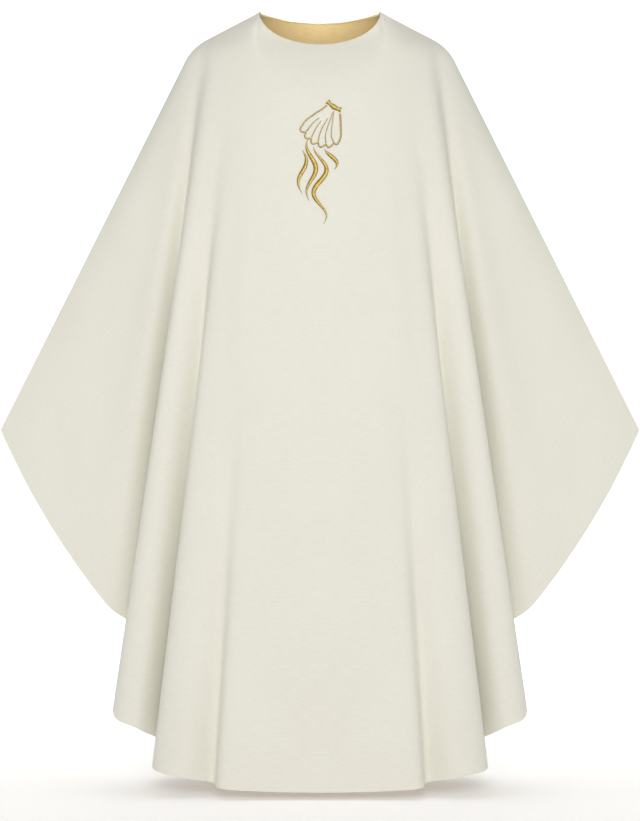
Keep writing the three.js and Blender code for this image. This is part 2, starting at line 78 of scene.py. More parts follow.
# %% Main sizes
panel_low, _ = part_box("front_panel")
_, wing_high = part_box("left_wing_front_panel")
LENGTH = -panel_low[2]
WING_HALF_SPAN = wing_high[0]
NECK_HALF_WIDTH = 0.106
SHOULDER = (0.222, -0.060)
WING_TIP = (WING_HALF_SPAN, -0.724)
SHOULDER_ROUNDING = 0.030
HEM_CURVE = 2.3
print("length", round(LENGTH, 4), "half span", round(WING_HALF_SPAN, 4))

# %% [markdown]
# ## The camera
# It looks straight at the front from the height of the garment's middle, from far enough away
# for the wings' tips to just reach the sides of the picture.

# %% Camera
CAMERA_DISTANCE = 4.6
CAMERA_HEIGHT = -0.690
VIEW_WIDTH = 1.111
camera_data = bpy.data.cameras.new("camera")
camera = bpy.data.objects.new("camera", camera_data)
bpy.context.collection.objects.link(camera)
camera.location = (0.0, -CAMERA_DISTANCE, CAMERA_HEIGHT)
camera.rotation_euler = (math.radians(90), 0, 0)
camera_data.sensor_fit = "HORIZONTAL"
camera_data.sensor_width = 36
camera_data.lens = camera_data.sensor_width * CAMERA_DISTANCE / VIEW_WIDTH
camera_data.clip_end = 50
bpy.context.scene.camera = camera
print("lens", round(camera_data.lens, 1))

# %% [markdown]
# ## Floor and backdrop
# A studio hangs a roll of paper that sweeps from the floor up the wall without a corner. Two
# planes would show the line where they meet, so one profile is swept across instead. The wall
# lets the eye through from behind, and a plain floor goes on there, so that the garment's back
# can be looked at too.

# %% Two helpers: a material and a mesh object
def node_material(name):
    material = bpy.data.materials.new(name)
    material.use_nodes = True
    nodes = material.node_tree.nodes
    return material, nodes, material.node_tree.links, nodes["Principled BSDF"]


def new_object(name, vertices, faces):
    mesh = bpy.data.meshes.new(name)
    mesh.from_pydata([tuple(map(float, v)) for v in vertices], [], [tuple(f) for f in faces])
    mesh.update()
    mesh.shade_smooth()
    obj = bpy.data.objects.new(name, mesh)
    bpy.context.collection.objects.link(obj)
    return obj


# %% The paper
BACKDROP_GLOW = 0.3  # the floor is lit from below too, so only a thin shadow is left
PALE = (0.92, 0.92, 0.92, 1)
WHITE = (1, 1, 1, 1)


def pale_paper():
    """Matt paper that glows a little; seen from behind it isn't there."""
    material, nodes, links, shader = node_material("pale_backdrop")
    shader.inputs["Base Color"].default_value = PALE
    shader.inputs["Roughness"].default_value = 0.9
    shader.inputs["Emission Color"].default_value = WHITE
    shader.inputs["Emission Strength"].default_value = BACKDROP_GLOW
    side_seen = nodes.new("ShaderNodeNewGeometry")
    clear = nodes.new("ShaderNodeBsdfTransparent")
    either = nodes.new("ShaderNodeMixShader")
    links.new(side_seen.outputs["Backfacing"], either.inputs[0])
    links.new(shader.outputs[0], either.inputs[1])
    links.new(clear.outputs[0], either.inputs[2])
    links.new(either.outputs[0], nodes["Material Output"].inputs["Surface"])
    return material


# %% Floor and backdrop
FLOOR_DROP = 0.012  # the hem hangs just clear of the floor
FLOOR_HALF = 14.0
SWEEP_START = 2.0
SWEEP_RADIUS = 1.5
SWEEP_STEPS = 16
WALL_HEIGHT = 6.0


def swept_across(name, profile, material):
    """A profile of (y, z) points, drawn out from side to side."""
    vertices = [(x, y, z) for y, z in profile for x in (-FLOOR_HALF, FLOOR_HALF)]
    faces = [(2 * i, 2 * i + 1, 2 * i + 3, 2 * i + 2) for i in range(len(profile) - 1)]
    obj = new_object(name, vertices, faces)
    obj.data.materials.append(material)


floor_z = cad_box[0][2] - FLOOR_DROP
profile = [(-FLOOR_HALF, floor_z), (SWEEP_START, floor_z)]
for i in range(1, SWEEP_STEPS + 1):
    turn = i / SWEEP_STEPS * math.pi / 2
    y = SWEEP_START + SWEEP_RADIUS * math.sin(turn)
    profile.append((y, floor_z + SWEEP_RADIUS * (1 - math.cos(turn))))
profile.append((SWEEP_START + SWEEP_RADIUS, floor_z + WALL_HEIGHT))
paper = pale_paper()
swept_across("backdrop", profile, paper)
swept_across("floor_behind", [(SWEEP_START, floor_z), (FLOOR_HALF, floor_z)], paper)
print("floor at", round(floor_z, 4), "wall at", SWEEP_START + SWEEP_RADIUS)

# %% [markdown]
# ## Light
# The garment is lit as in a studio, by soft lights only: a broad one high in front, a weak one
# at each side, one overhead and one for the backdrop. Area lights are used because the size of
# each sets how soft the folds' shadows are. A narrow strip lamp reaches just inside the neck,
# where the gold lining would otherwise lie in the dark.

# %% The studio's own glow
WARM_WHITE = (1.0, 0.97, 0.91, 1)
scene = bpy.context.scene
scene.view_settings.view_transform = "Standard"
world = bpy.data.worlds.new("studio")
world.use_nodes = True
world.node_tree.nodes["Background"].inputs["Color"].default_value = WARM_WHITE
world.node_tree.nodes["Background"].inputs["Strength"].default_value = 0.26
scene.world = world
print("world", world.name)

# %% Lights
GARMENT_MIDDLE = (0, 0, -0.65)
WALL_MIDDLE = (0, 3.5, 0.4)
NECK_INSIDE = (0, 0.08, 0.06)
ALL_ROUND = 180
STRIP_HEIGHT = 0.02
# name, place, aim, size in metres, power in watts, spread in degrees
LIGHTS = [
    ("key", (0.0, -5.4, 0.8), GARMENT_MIDDLE, 1.5, 116, ALL_ROUND),
    ("left_fill", (-3.6, -2.6, 0.2), GARMENT_MIDDLE, 2.0, 3, ALL_ROUND),
    ("right_fill", (3.6, -2.6, 0.2), GARMENT_MIDDLE, 2.0, 3, ALL_ROUND),
    ("overhead", (0.0, -0.9, 2.6), GARMENT_MIDDLE, 3.0, 18, ALL_ROUND),
    ("wall", (0.0, 1.6, 3.0), WALL_MIDDLE, 3.0, 62, 100),
    ("neck_lamp", (0, -1.20, -0.10), NECK_INSIDE, 0.22, 0.115, 10.4),
]
for name, place, aim, size, power, spread in LIGHTS:
    data = bpy.data.lights.new(name, "AREA")
    data.size = size
    data.energy = power
    data.spread = math.radians(spread)
    lamp = bpy.data.objects.new(name, data)
    lamp.location = place
    lamp.rotation_euler = (Vector(aim) - lamp.location).to_track_quat("-Z", "Y").to_euler()
    bpy.context.collection.objects.link(lamp)
strip = bpy.data.lights["neck_lamp"]
strip.shape = "RECTANGLE"
strip.size_y = STRIP_HEIGHT
print("lights", len(LIGHTS))

# %% [markdown]
# ## How the cloth falls
# The cloth radiates from the neck and the shoulders in straight lines. Where a line passes over
# spare cloth it stands out as a fold, and between folds it lies further in, as a valley. The
# table gives each line's place at the top, its place across at the foot, its place along the
# hem, and how far it stands from the shoulder seam's plane at four heights. A smooth curve
# through the table gives every line between. This is quicker and steadier than a simulation of
# four square metres of cloth, and it puts each fold where it belongs.

# %% The table of lines
# top, span, edge, depth at the shoulder, chest, waist and hem
CLOTH_LINES = [
    (0.00, 0.000, 0.000, 100, 122, 134, 162),  # centre
    (0.28, 0.155, 0.07, 97, 120.5, 134, 162),  # panel
    (0.58, 0.303, 0.139, 88, 113.5, 130, 162),  # panel crest
    (0.80, 0.325, 0.184, 81.5, 109.5, 129, 123),  # inner valley
    (1.00, 0.414, 0.239, 79.5, 106, 122, 150),  # inner fold, from the neck's side
    (1.20, 0.513, 0.293, 69, 97.5, 112, 124),  # inner fold edge
    (1.30, 0.470, 0.376, 63.5, 93, 72, 34),  # middle valley
    (1.42, 0.559, 0.454, 57, 89, 92, 92),  # outer fold
    (1.56, 0.640, 0.506, 50, 81, 85, 70),  # outer fold edge
    (1.64, 0.570, 0.68, 41, 42, 18, 12),  # wing valley
    (1.71, 0.655, 0.737, 38, 50, 50, 34),  # wing ridge
    (1.78, 0.775, 0.823, 31, 36, 34, 26),  # wing
    (1.85, 0.888, 0.908, 24, 25, 20, 16),  # outer wing
    (1.92, 0.955, 0.9625, 14, 14, 11, 8),  # wing border
    (2.00, 1.000, 1.000, 0, 0, 0, 0),  # seam
]
LAST_LINE = len(CLOTH_LINES) - 1
CHEST_AT = 0.200
WAIST_AT = 0.600
SHOULDER_ROUND = 0.060
SEAM_ROUND = 0.012
NAPE_POWER = 4
FACES = {
    "front": {"sign": -1, "drop": 0.068, "power": 0.93, "round": 0.170, "rise": 0,
              "full": (1, 1, 1, 1)},
    "back": {"sign": 1, "drop": 0.008, "power": 2, "round": 0.085, "rise": 0.045,
             "full": (0.8, 0.86, 0.84, 0.95)},
}
STEPS_PER_LINE = 10
NECK_LINE = [line[0] for line in CLOTH_LINES].index(1.00)
NECK_COLUMN = NECK_LINE * STEPS_PER_LINE  # of the grid's columns, the one from the neck's side
print("lines", len(CLOTH_LINES), "the neck's side is line", NECK_LINE)


# %% Two smooth curves through a few values


def along(values, place, image):
    """Catmull-Rom through values; before the start they go on as their own image."""
    values = np.asarray(values, float)
    i = np.minimum(np.floor(place).astype(int), len(values) - 2)
    f = place - i
    padded = np.concatenate([[image * values[1]], values, [2 * values[-1] - values[-2]]])
    a, b, c, d = padded[i], padded[i + 1], padded[i + 2], padded[i + 3]
    return b + 0.5 * f * (c - a + f * (2 * a - 5 * b + 4 * c - d + f * (3 * (b - c) + d - a)))


def through(xs, ys, x):
    """A smooth curve through four points, for arrays: each x and y may differ by column."""
    result = np.zeros_like(x)
    slopes = []
    for i in range(4):
        a, b = max(i - 1, 0), min(i + 1, 3)
        slopes.append((ys[b] - ys[a]) / (xs[b] - xs[a]))
    for i in range(3):
        w = xs[i + 1] - xs[i]
        f = (x - xs[i]) / w
        g = 1 - f
        piece = (ys[i] * g * g * (1 + 2 * f) + ys[i + 1] * f * f * (3 - 2 * f)
                 + w * f * g * (slopes[i] * g - slopes[i + 1] * f))
        inside = (x >= xs[i]) & ((x < xs[i + 1]) | (i == 2))
        result = np.where(inside, piece, result)
    return result


# %% [markdown]
# ## Where the cloth hangs from
# The two pieces of cloth meet on a seam that leaves the neck's side, follows the shoulder and
# rounds over its end. Each line of cloth starts either on that seam or on the neck's edge. A
# curve object could draw the seam, but the lines need its places as numbers, so a straight
# stretch and one quadratic curve are sampled here.

# %% The shoulder seam, seen from the front
def shoulder_seam(samples=400):
    """Points from the neck's side to the end of the rounded shoulder, evenly spaced."""
    side, corner, tip = (np.array(p) for p in ((NECK_HALF_WIDTH, 0.0), SHOULDER, WING_TIP))
    unit = lambda v: v / np.linalg.norm(v)
    start = corner + unit(side - corner) * SHOULDER_ROUNDING
    end = corner + unit(tip - corner) * SHOULDER_ROUNDING
    straight = [side + (start - side) * t for t in np.linspace(0, 1, samples)]
    t = np.linspace(0, 1, samples)[1:, None]
    curve = start * (1 - t) ** 2 + 2 * corner * t * (1 - t) + end * t ** 2
    points = np.vstack([straight, curve])
    run = np.concatenate([[0], np.cumsum(np.linalg.norm(np.diff(points, axis=0), axis=1))])
    return run / run[-1], points


SEAM_RUN, SEAM_POINTS = shoulder_seam()
print("seam from", SEAM_POINTS[0].round(3), "to", SEAM_POINTS[-1].round(3))


# %% The lines' tops
def tops(face, top):
    """x, z, how far below the shoulders, and how far to the front, for each line's top."""
    on_seam = top >= 1
    place = np.clip(top - 1, 0, 1)
    seam_x = np.interp(place, SEAM_RUN, SEAM_POINTS[:, 0])
    seam_z = np.interp(place, SEAM_RUN, SEAM_POINTS[:, 1])
    turn = np.minimum(top, 1) * math.pi / 2
    front = np.where(on_seam, 0, np.maximum(np.cos(turn), 0))
    below = face["drop"] * front ** face["power"]
    x = np.where(on_seam, seam_x, NECK_HALF_WIDTH * np.sin(turn))
    return x, np.where(on_seam, seam_z, -below), below, front


# %% [markdown]
# ## One face of the cloth as a fine grid
# Cloth has no corners, so the grid is fine, and each row is then rounded a little, as the
# cloth's stiffness rounds a real fold. A subdivision surface would round it too, but it would
# pull the layers apart, so the points themselves are rounded, by a bell-shaped average along
# the row. The rows lie closest where the cloth turns over the shoulder.

# %% Rows down a line
ROWS = 92
TOP_ROW_GAPS = 26
TOP_SHARE = 0.16  # of a line, over which the rows lie close
TOP_CROWDING = 1.7


def row_shares():
    """Rows as shares of a line: close together over the shoulder, then even."""
    near = TOP_SHARE * (np.linspace(0, 1, TOP_ROW_GAPS + 1) ** TOP_CROWDING)
    far = np.linspace(TOP_SHARE, 1, ROWS - TOP_ROW_GAPS)
    return np.concatenate([near, far[1:]])


# %% Rounding a row
SOFT_HIGH, SOFT_LOW = 0.014, 0.008  # how far the cloth's stiffness rounds a fold, high and low
SOFT_FROM = 0.04  # share of a line over which the rounding sets in, below the neck and shoulder
SOFT_LEAST = 1e-4


def softness():
    """How much each row is rounded, in metres of cloth: nothing at the very top."""
    share = row_shares()
    start = np.clip(share / SOFT_FROM, 0, 1)
    return (SOFT_HIGH + (SOFT_LOW - SOFT_HIGH) * share) * start * start * (3 - 2 * start)


def softened(row, soft):
    """A row of points, rounded as a bell curve would; its two ends stay where they are."""
    if soft < SOFT_LEAST:
        return row
    run = np.concatenate([[0], np.cumsum(np.linalg.norm(np.diff(row, axis=0), axis=1))])
    mirrored = row[:0:-1] * np.array([-1, 1, 1])
    turned = 2 * row[-1] - row[-2::-1]
    points = np.concatenate([mirrored, row, turned])
    places = np.concatenate([-run[:0:-1], run, 2 * run[-1] - run[-2::-1]])
    weight = np.exp(-0.5 * ((run[:, None] - places[None]) / soft) ** 2) * np.gradient(places)
    return (weight @ points) / weight.sum(axis=1, keepdims=True)


# %% The outer face
SEAM_GAP = 0.0002  # half of the gap between front and back along their seams


def cloth_grid(face_name):
    """The outer face of one half, from the centre (column 0) to the wing's seam."""
    face = FACES[face_name]
    table = np.array(CLOTH_LINES)
    place = np.linspace(0, LAST_LINE, LAST_LINE * STEPS_PER_LINE + 1)
    x0, z0, below, front = tops(face, along(table[:, 0], place, -1))
    edge = np.maximum(along(table[:, 2], place, -1), 0)
    x1 = WING_HALF_SPAN * along(table[:, 1], place, -1)
    z1 = -LENGTH + (LENGTH + WING_TIP[1]) * edge ** HEM_CURVE
    depth = [along(table[:, 3 + k] / 1000, place, 1) * face["full"][k] for k in range(4)]
    length = np.hypot(x1 - x0, z1 - z0)
    share = row_shares()[:, None]
    x = x0 + (x1 - x0) * share
    z = z0 + (z1 - z0) * share
    above = below + face["rise"] * front ** NAPE_POWER
    fallen = above + length * share
    ends = [np.zeros_like(length), np.full_like(length, CHEST_AT),
            np.full_like(length, WAIST_AT), above + length]
    body = through([np.broadcast_to(e, x.shape) for e in ends],
                   [np.broadcast_to(d, x.shape) for d in depth], fallen)
    side_round = np.clip(depth[0], SEAM_ROUND, SHOULDER_ROUND)
    turn = side_round + (face["round"] - side_round) * front
    over = np.minimum(fallen / turn, 1)
    y = body * np.sqrt(1 - (1 - over) ** 2)
    grid = np.stack([x, face["sign"] * np.maximum(y, SEAM_GAP), z], axis=-1)
    grid[:, 0, 0] = 0
    return np.stack([softened(row, soft) for row, soft in zip(grid, softness())])


# %% The way each point faces
def grid_normals(grid, sign):
    """Outward normals; on the seams they lie in the seam's plane."""
    mirrored = grid[:, 1:2] * np.array([-1, 1, 1])
    wide = np.concatenate([mirrored, grid], axis=1)
    across = np.gradient(wide, axis=1)[:, 1:]
    down = np.gradient(grid, axis=0)
    normal = np.cross(across, down) * sign
    seam = grid[:, -1]
    tangent = np.gradient(seam, axis=0)
    normal[:, -1] = np.stack([-tangent[:, 2], 0 * tangent[:, 0], tangent[:, 0]], axis=-1)
    tangent = np.gradient(grid[0, NECK_COLUMN:], axis=0)
    normal[0, NECK_COLUMN:] = np.stack([-tangent[:, 2], 0 * tangent[:, 0], tangent[:, 0]], axis=-1)
    return normal / np.linalg.norm(normal, axis=-1, keepdims=True)


GRIDS = {name: cloth_grid(name) for name in FACES}
NORMALS = {name: grid_normals(GRIDS[name], FACES[name]["sign"]) for name in FACES}
for name, grid in GRIDS.items():
    print(name, "grid", grid.shape[:2], "deepest", round(float(abs(grid[..., 1]).max()), 4))

# %% [markdown]
# ## Cloth materials
# The outer cloth is a smooth, matt, fine weave, and the lining is a satin with more shine. A
# picture of cloth could be wrapped round them, but it would blur close up and repeat from afar.
# So the weave and the slight unevenness of its yarns come from wave and noise patterns laid
# along the cloth, in metres of cloth.

# %% Material helpers
WAVE_PERIOD = math.pi / 10  # a wave texture of scale 1 repeats after this length


def srgb(*levels):
    """A colour from levels of 0 to 255, as the shader counts light."""
    shares = [level / 255 for level in levels]
    return tuple(c / 12.92 if c <= 0.04045 else ((c + 0.055) / 1.055) ** 2.4 for c in shares)


def ramp(nodes, links, source, stops):
    """Turns a number into a colour, by stops of (place, colour)."""
    node = nodes.new("ShaderNodeValToRGB")
    elements = node.color_ramp.elements
    for element, (place, colour) in zip(elements, (stops[0], stops[-1])):
        element.position = place
        element.color = (*colour, 1)
    for place, colour in stops[1:-1]:
        elements.new(place).color = (*colour, 1)
    links.new(source, node.inputs["Fac"])
    return node.outputs["Color"]


def cloth_places(nodes):
    """Where a point lies on its cloth, in metres across and down."""
    uv = nodes.new("ShaderNodeUVMap")
    uv.uv_map = "cloth"
    return uv.outputs["UV"]


def stretched(nodes, links, source, scale):
    mapping = nodes.new("ShaderNodeMapping")
    mapping.inputs["Scale"].default_value = scale
    links.new(source, mapping.inputs["Vector"])
    return mapping.outputs["Vector"]


def bands(nodes, links, source, axis, pitch, distortion, detail):
    """Stripes across an axis, one to each pitch in metres, a little uneven."""
    wave = nodes.new("ShaderNodeTexWave")
    wave.bands_direction = axis
    wave.inputs["Scale"].default_value = WAVE_PERIOD / pitch
    wave.inputs["Distortion"].default_value = distortion
    wave.inputs["Detail"].default_value = detail
    links.new(source, wave.inputs["Vector"])
    return wave.outputs["Fac"]


def clouds(nodes, links, source, scale, detail):
    noise = nodes.new("ShaderNodeTexNoise")
    noise.inputs["Scale"].default_value = scale
    noise.inputs["Detail"].default_value = detail
    links.new(source, noise.inputs["Vector"])
    return noise.outputs["Fac"]


def combined(nodes, links, operation, a, b):
    node = nodes.new("ShaderNodeMath")
    node.operation = operation
    links.new(a, node.inputs[0])
    links.new(b, node.inputs[1])
    return node.outputs[0]


# %% Roughness and relief for a material
def set_roughness(nodes, links, shader, source, least, most):
    rough = nodes.new("ShaderNodeMapRange")
    rough.inputs["To Min"].default_value = least
    rough.inputs["To Max"].default_value = most
    links.new(source, rough.inputs["Value"])
    links.new(rough.outputs["Result"], shader.inputs["Roughness"])


def set_relief(nodes, links, shader, height, strength, distance):
    bumps = nodes.new("ShaderNodeBump")
    bumps.inputs["Strength"].default_value = strength
    bumps.inputs["Distance"].default_value = distance
    links.new(height, bumps.inputs["Height"])
    links.new(bumps.outputs["Normal"], shader.inputs["Normal"])


# %% A woven cloth
ROUGHNESS_SWING = 0.06
WEAVE_RELIEF = 0.12


def woven(name, light, dark, roughness, yarn, sheen):
    """Two sets of yarns, thicker places in them, and a faint unevenness of colour."""
    material, nodes, links, shader = node_material(name)
    source = cloth_places(nodes)
    across, down = (bands(nodes, links, source, axis, yarn, 1.5, 1) for axis in ("X", "Y"))
    weave = combined(nodes, links, "MULTIPLY", across, down)
    slub = clouds(nodes, links, stretched(nodes, links, source, (60, 900, 1)), 1, 3)
    mixed = nodes.new("ShaderNodeMix")
    mixed.data_type = "FLOAT"
    mixed.inputs[0].default_value = 0.75
    links.new(clouds(nodes, links, source, 5, 4), mixed.inputs[2])
    links.new(slub, mixed.inputs[3])
    colour = ramp(nodes, links, mixed.outputs[0], [(0.36, dark), (0.62, light)])
    links.new(colour, shader.inputs["Base Color"])
    set_roughness(nodes, links, shader, slub, roughness - ROUGHNESS_SWING,
                  roughness + ROUGHNESS_SWING)
    height = combined(nodes, links, "ADD", weave, slub)
    set_relief(nodes, links, shader, height, WEAVE_RELIEF, yarn / 3)
    shader.inputs["Sheen Weight"].default_value = sheen
    shader.inputs["Sheen Roughness"].default_value = 0.5
    shader.inputs["Specular IOR Level"].default_value = 0.25
    return material


# %% The four cloths
# name, light and dark colour, roughness, yarn in metres, sheen
CREAM = woven("cream_cloth", srgb(236, 234, 224), srgb(230, 228, 216), 0.8, 0.0007, 0.12)
BINDING = woven("cream_binding", srgb(240, 237, 227), srgb(232, 228, 216), 0.75, 0.0005, 0.12)
LINING = woven("gold_lining", srgb(243, 219, 163), srgb(232, 205, 142), 0.5, 0.0005, 0.2)
TAPE = woven("inner_tape", srgb(238, 236, 230), srgb(228, 225, 216), 0.85, 0.0009, 0.1)
print("materials", [m.name for m in (CREAM, BINDING, LINING, TAPE)])

# %% [markdown]
# ## Layers of cloth
# Every layer is the same fall of cloth at its own depth below the outer face: the cream cloth,
# then the turned-up facings, then the gold lining. A layer is a closed sheet with real
# thickness, so its edges show as edges. Each side of the garment is one mesh, because each wing
# can lift on its own, and the two meet on the flat centre. A Solidify modifier could thicken
# a single surface, but then a layer would not know where its neighbours lie.

# %% Thicknesses and sides
CLOTH = 0.0012
TAPE_THICK = 0.0006
LINING_THICK = 0.0006
LAYER_GAP = 0.0005
FACING_AT = CLOTH + LAYER_GAP
LINING_AT = FACING_AT + TAPE_THICK + LAYER_GAP
SIDES = (("left", 1), ("right", -1))
MIRROR = {"left": np.array([1, 1, 1]), "right": np.array([-1, 1, 1])}
print("lining lies", round(LINING_AT * 1000, 2), "mm under the outer face")


# %% The pattern and the cut edge of a sheet
def sheet_uv(grid):
    """Metres of cloth across and down."""
    across = np.linalg.norm(np.diff(grid, axis=1), axis=-1)
    down = np.linalg.norm(np.diff(grid, axis=0), axis=-1)
    u = np.concatenate([np.zeros((grid.shape[0], 1)), np.cumsum(across, axis=1)], axis=1)
    v = np.concatenate([np.zeros((1, grid.shape[1])), np.cumsum(down, axis=0)], axis=0)
    return np.stack([u, v], axis=-1)


def lay_pattern(obj, uv):
    """Gives each face corner its vertex's place on the cloth, for the weave to follow."""
    pattern = obj.data.uv_layers.new(name="cloth")
    loops = np.zeros(len(obj.data.loops), int)
    obj.data.loops.foreach_get("vertex_index", loops)
    pattern.data.foreach_set("uv", uv[loops].ravel())


def sharpen_rim(obj, rim, count):
    """A sheet is smooth all over, but its cut edge is sharp on both faces."""
    sharp = obj.data.attributes.new("sharp_edge", "BOOLEAN", "EDGE")
    ends = np.zeros(len(obj.data.edges) * 2, int)
    obj.data.edges.foreach_get("vertices", ends)
    ends = ends.reshape(-1, 2)
    on_rim = np.zeros(2 * count, bool)
    on_rim[rim] = True
    on_rim[[count + i for i in rim]] = True
    through_sheet = np.abs(ends[:, 0] - ends[:, 1]) == count
    sharp.data.foreach_set("value", on_rim[ends[:, 0]] & on_rim[ends[:, 1]] & ~through_sheet)


# %% A closed sheet between two grids
def solid_sheet(name, outer, inner, flip, material, uv=None):
    """A closed sheet between two grids of points with the same rows and columns."""
    rows, columns = outer.shape[:2]
    count = rows * columns
    vertices = np.concatenate([outer.reshape(-1, 3), inner.reshape(-1, 3)])
    number = np.arange(count).reshape(rows, columns)
    corners = [number[:-1, :-1], number[1:, :-1], number[1:, 1:], number[:-1, 1:]]
    faces = []
    for quad in np.stack(corners, axis=-1).reshape(-1, 4).tolist():
        faces.append(tuple(quad))
        faces.append(tuple(count + i for i in reversed(quad)))
    sides = [number[0], number[1:, -1], number[-1, -2::-1], number[-2:0:-1, 0]]
    rim = np.concatenate(sides).tolist()
    for a, b in zip(rim, rim[1:] + rim[:1]):
        faces.append((a, b, count + b, count + a))
    if flip:
        faces = [tuple(reversed(f)) for f in faces]
    obj = new_object(name, vertices, faces)
    flat = sheet_uv(outer) if uv is None else uv
    lay_pattern(obj, np.concatenate([flat.reshape(-1, 2)] * 2))
    obj.data.materials.append(material)
    sharpen_rim(obj, rim, count)
    return obj


# %% [markdown]
# ## A layer's placement
# When an arm lifts, the cloth beside it bends in a broad sweep and doesn't hinge on a line. An
# armature with painted weights could do that. Here a layer's placement is only baked into its
# mesh, and nothing ties it to a wing.


def bend_with_wing(obj):
    """Bakes the object's placement into its mesh."""
    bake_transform(obj)


def layer(name, face_name, side, depth, thick, rows, columns, material):
    grid = GRIDS[face_name][rows, columns]
    normal = NORMALS[face_name][rows, columns]
    outer = (grid - normal * depth) * MIRROR[side]
    inner = (grid - normal * (depth + thick)) * MIRROR[side]
    flip = (FACES[face_name]["sign"] > 0) != (side == "right")
    return solid_sheet(name, outer, inner, flip, material, sheet_uv(grid))


# %% [markdown]
# ## The cream cloth
# Front and back are each one wide piece of cream cloth. Each is made in two halves that meet at
# the centre, so that a half has only one wing to follow.

# %% The cream cloth
ALL = slice(None)
for face_name in FACES:
    for side, _ in SIDES:
        cloth = layer(f"{face_name}_{side}_cloth", face_name, side, 0, CLOTH, ALL, ALL, CREAM)
        bend_with_wing(cloth)
        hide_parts(f"{face_name}_panel", f"{side}_wing_{face_name}_panel")
print("cream cloth halves 4")

# %% [markdown]
# ## The gold lining
# The lining is cut like the outer cloth and sewn in, a little shorter, so that it never shows
# below the hem. It is the same grid, deeper in, with its last rows and columns left off. It
# shows inside the neck, under the wings and from below.

# %% The gold lining
LINING_ROWS = slice(0, -2)
INSIDE_COLUMNS = slice(0, -3)  # clear of the wing's seam
for face_name in FACES:
    for side, _ in SIDES:
        lining = layer(f"{face_name}_{side}_lining", face_name, side, LINING_AT, LINING_THICK,
                       LINING_ROWS, INSIDE_COLUMNS, LINING)
        bend_with_wing(lining)
        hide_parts(f"{face_name}_lining", f"{side}_wing_{face_name}_lining")

print("lining halves 4")

# %% [markdown]
# ## Facings
# A facing is a narrow strip of cloth turned to the inside along an edge, which gives the edge
# weight and keeps it smooth. They lie between cloth and lining and hardly show, so the same
# layer rule makes them from a few rows of the grid: the last ones for the hem, the first ones
# for the neck.

# %% Hem facings, neck facings
HEM_FACING_ROWS = slice(-4, None)
NECK_FACING_ROWS = slice(1, 14)
for face_name in FACES:
    for side, _ in SIDES:
        hem = layer(f"{face_name}_{side}_hem", face_name, side, FACING_AT, TAPE_THICK,
                    HEM_FACING_ROWS, INSIDE_COLUMNS, CREAM)
        bend_with_wing(hem)
        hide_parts(f"{face_name}_hem_facing", f"{side}_wing_{face_name}_hem_facing")
        facing = layer(f"{face_name}_{side}_neck_facing", face_name, side, FACING_AT, TAPE_THICK,
                       NECK_FACING_ROWS, slice(0, NECK_COLUMN), TAPE)
        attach(facing, "garment")
        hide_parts(f"{face_name}_neck_facing")
print("hem facings 4, neck facings 4")

# %% [markdown]
# ## Seams
# Inside, the allowances of the shoulder and wing seams hang as a narrow fin with a pinked edge.
# Left plain it would look like a cut board, so it is a thin strip with a zigzag edge, set in
# the seam's own plane.

# %% Seam allowances
SEAM_SET_BACK = 0.0012
SEAM_ALLOWANCE = 0.011
PINKING = 0.0022
PINK_STEP = 0.004
WING_SEAM_ROWS = slice(0, -3)  # the fin stops short of the wing's tip


def resampled(points, step):
    run = np.concatenate([[0], np.cumsum(np.linalg.norm(np.diff(points, axis=0), axis=1))])
    places = np.linspace(0, run[-1], max(2, int(run[-1] / step)))
    return np.stack([np.interp(places, run, points[:, k]) for k in range(3)], axis=-1)


def seam_fin(name, edge, side, bends):
    """A fin along an edge that lies in the plane y = 0; it points into the garment."""
    edge = resampled(edge, PINK_STEP / 2)
    tangent = np.gradient(edge, axis=0)
    outward = np.stack([-tangent[:, 2], 0 * tangent[:, 0], tangent[:, 0]], axis=-1)
    outward /= np.linalg.norm(outward, axis=1, keepdims=True)
    zigzag = PINKING * (np.arange(len(edge)) % 2)[:, None]
    start = CLOTH + SEAM_SET_BACK
    lines = [edge - outward * start, edge - outward * (start + SEAM_ALLOWANCE / 2),
             edge - outward * (start + SEAM_ALLOWANCE - PINKING + zigzag)]
    sheets = []
    for y in (-TAPE_THICK / 2, TAPE_THICK / 2):
        grid = np.stack(lines)
        grid[..., 1] = y
        sheets.append(grid * MIRROR[side])
    fin = solid_sheet(name, sheets[0], sheets[1], side == "right", TAPE)
    if bends:
        bend_with_wing(fin)
    else:
        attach(fin, "garment")
    return fin


front = GRIDS["front"]
for side, _ in SIDES:
    wing_edge = front[WING_SEAM_ROWS, -1]
    shoulder_edge = front[0, NECK_COLUMN + STEPS_PER_LINE // 2:]
    full = np.concatenate([shoulder_edge, wing_edge[1:]])
    fin = seam_fin(f"{side}_seam_fin", full, side, True)
    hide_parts(f"{side}_shoulder_seam", f"{side}_wing_seam")
print("seam fins 2")

# %% [markdown]
# ## The neck's edge
# A narrow roll of the same cloth finishes the neck. It is a thin band swept round the opening,
# oval in section, that sits on the edges of the cloth and the lining. A bevelled curve would
# twist at the neck's corners, so each section is set by the cloth's own normals. The roll's
# inner side shows the lining, which is rolled over it by a hair.

# %% The neck's edge, once round
BINDING_HEIGHT = 0.0018
BINDING_PROUD = 0.0007
SECTION = 12
LINING_FROM = 0.3  # of the roll's half thickness, inwards of which it shows the lining
ROLL_UV_STEP = 0.001


def unit_rows(vectors):
    return vectors / np.linalg.norm(vectors, axis=1, keepdims=True)


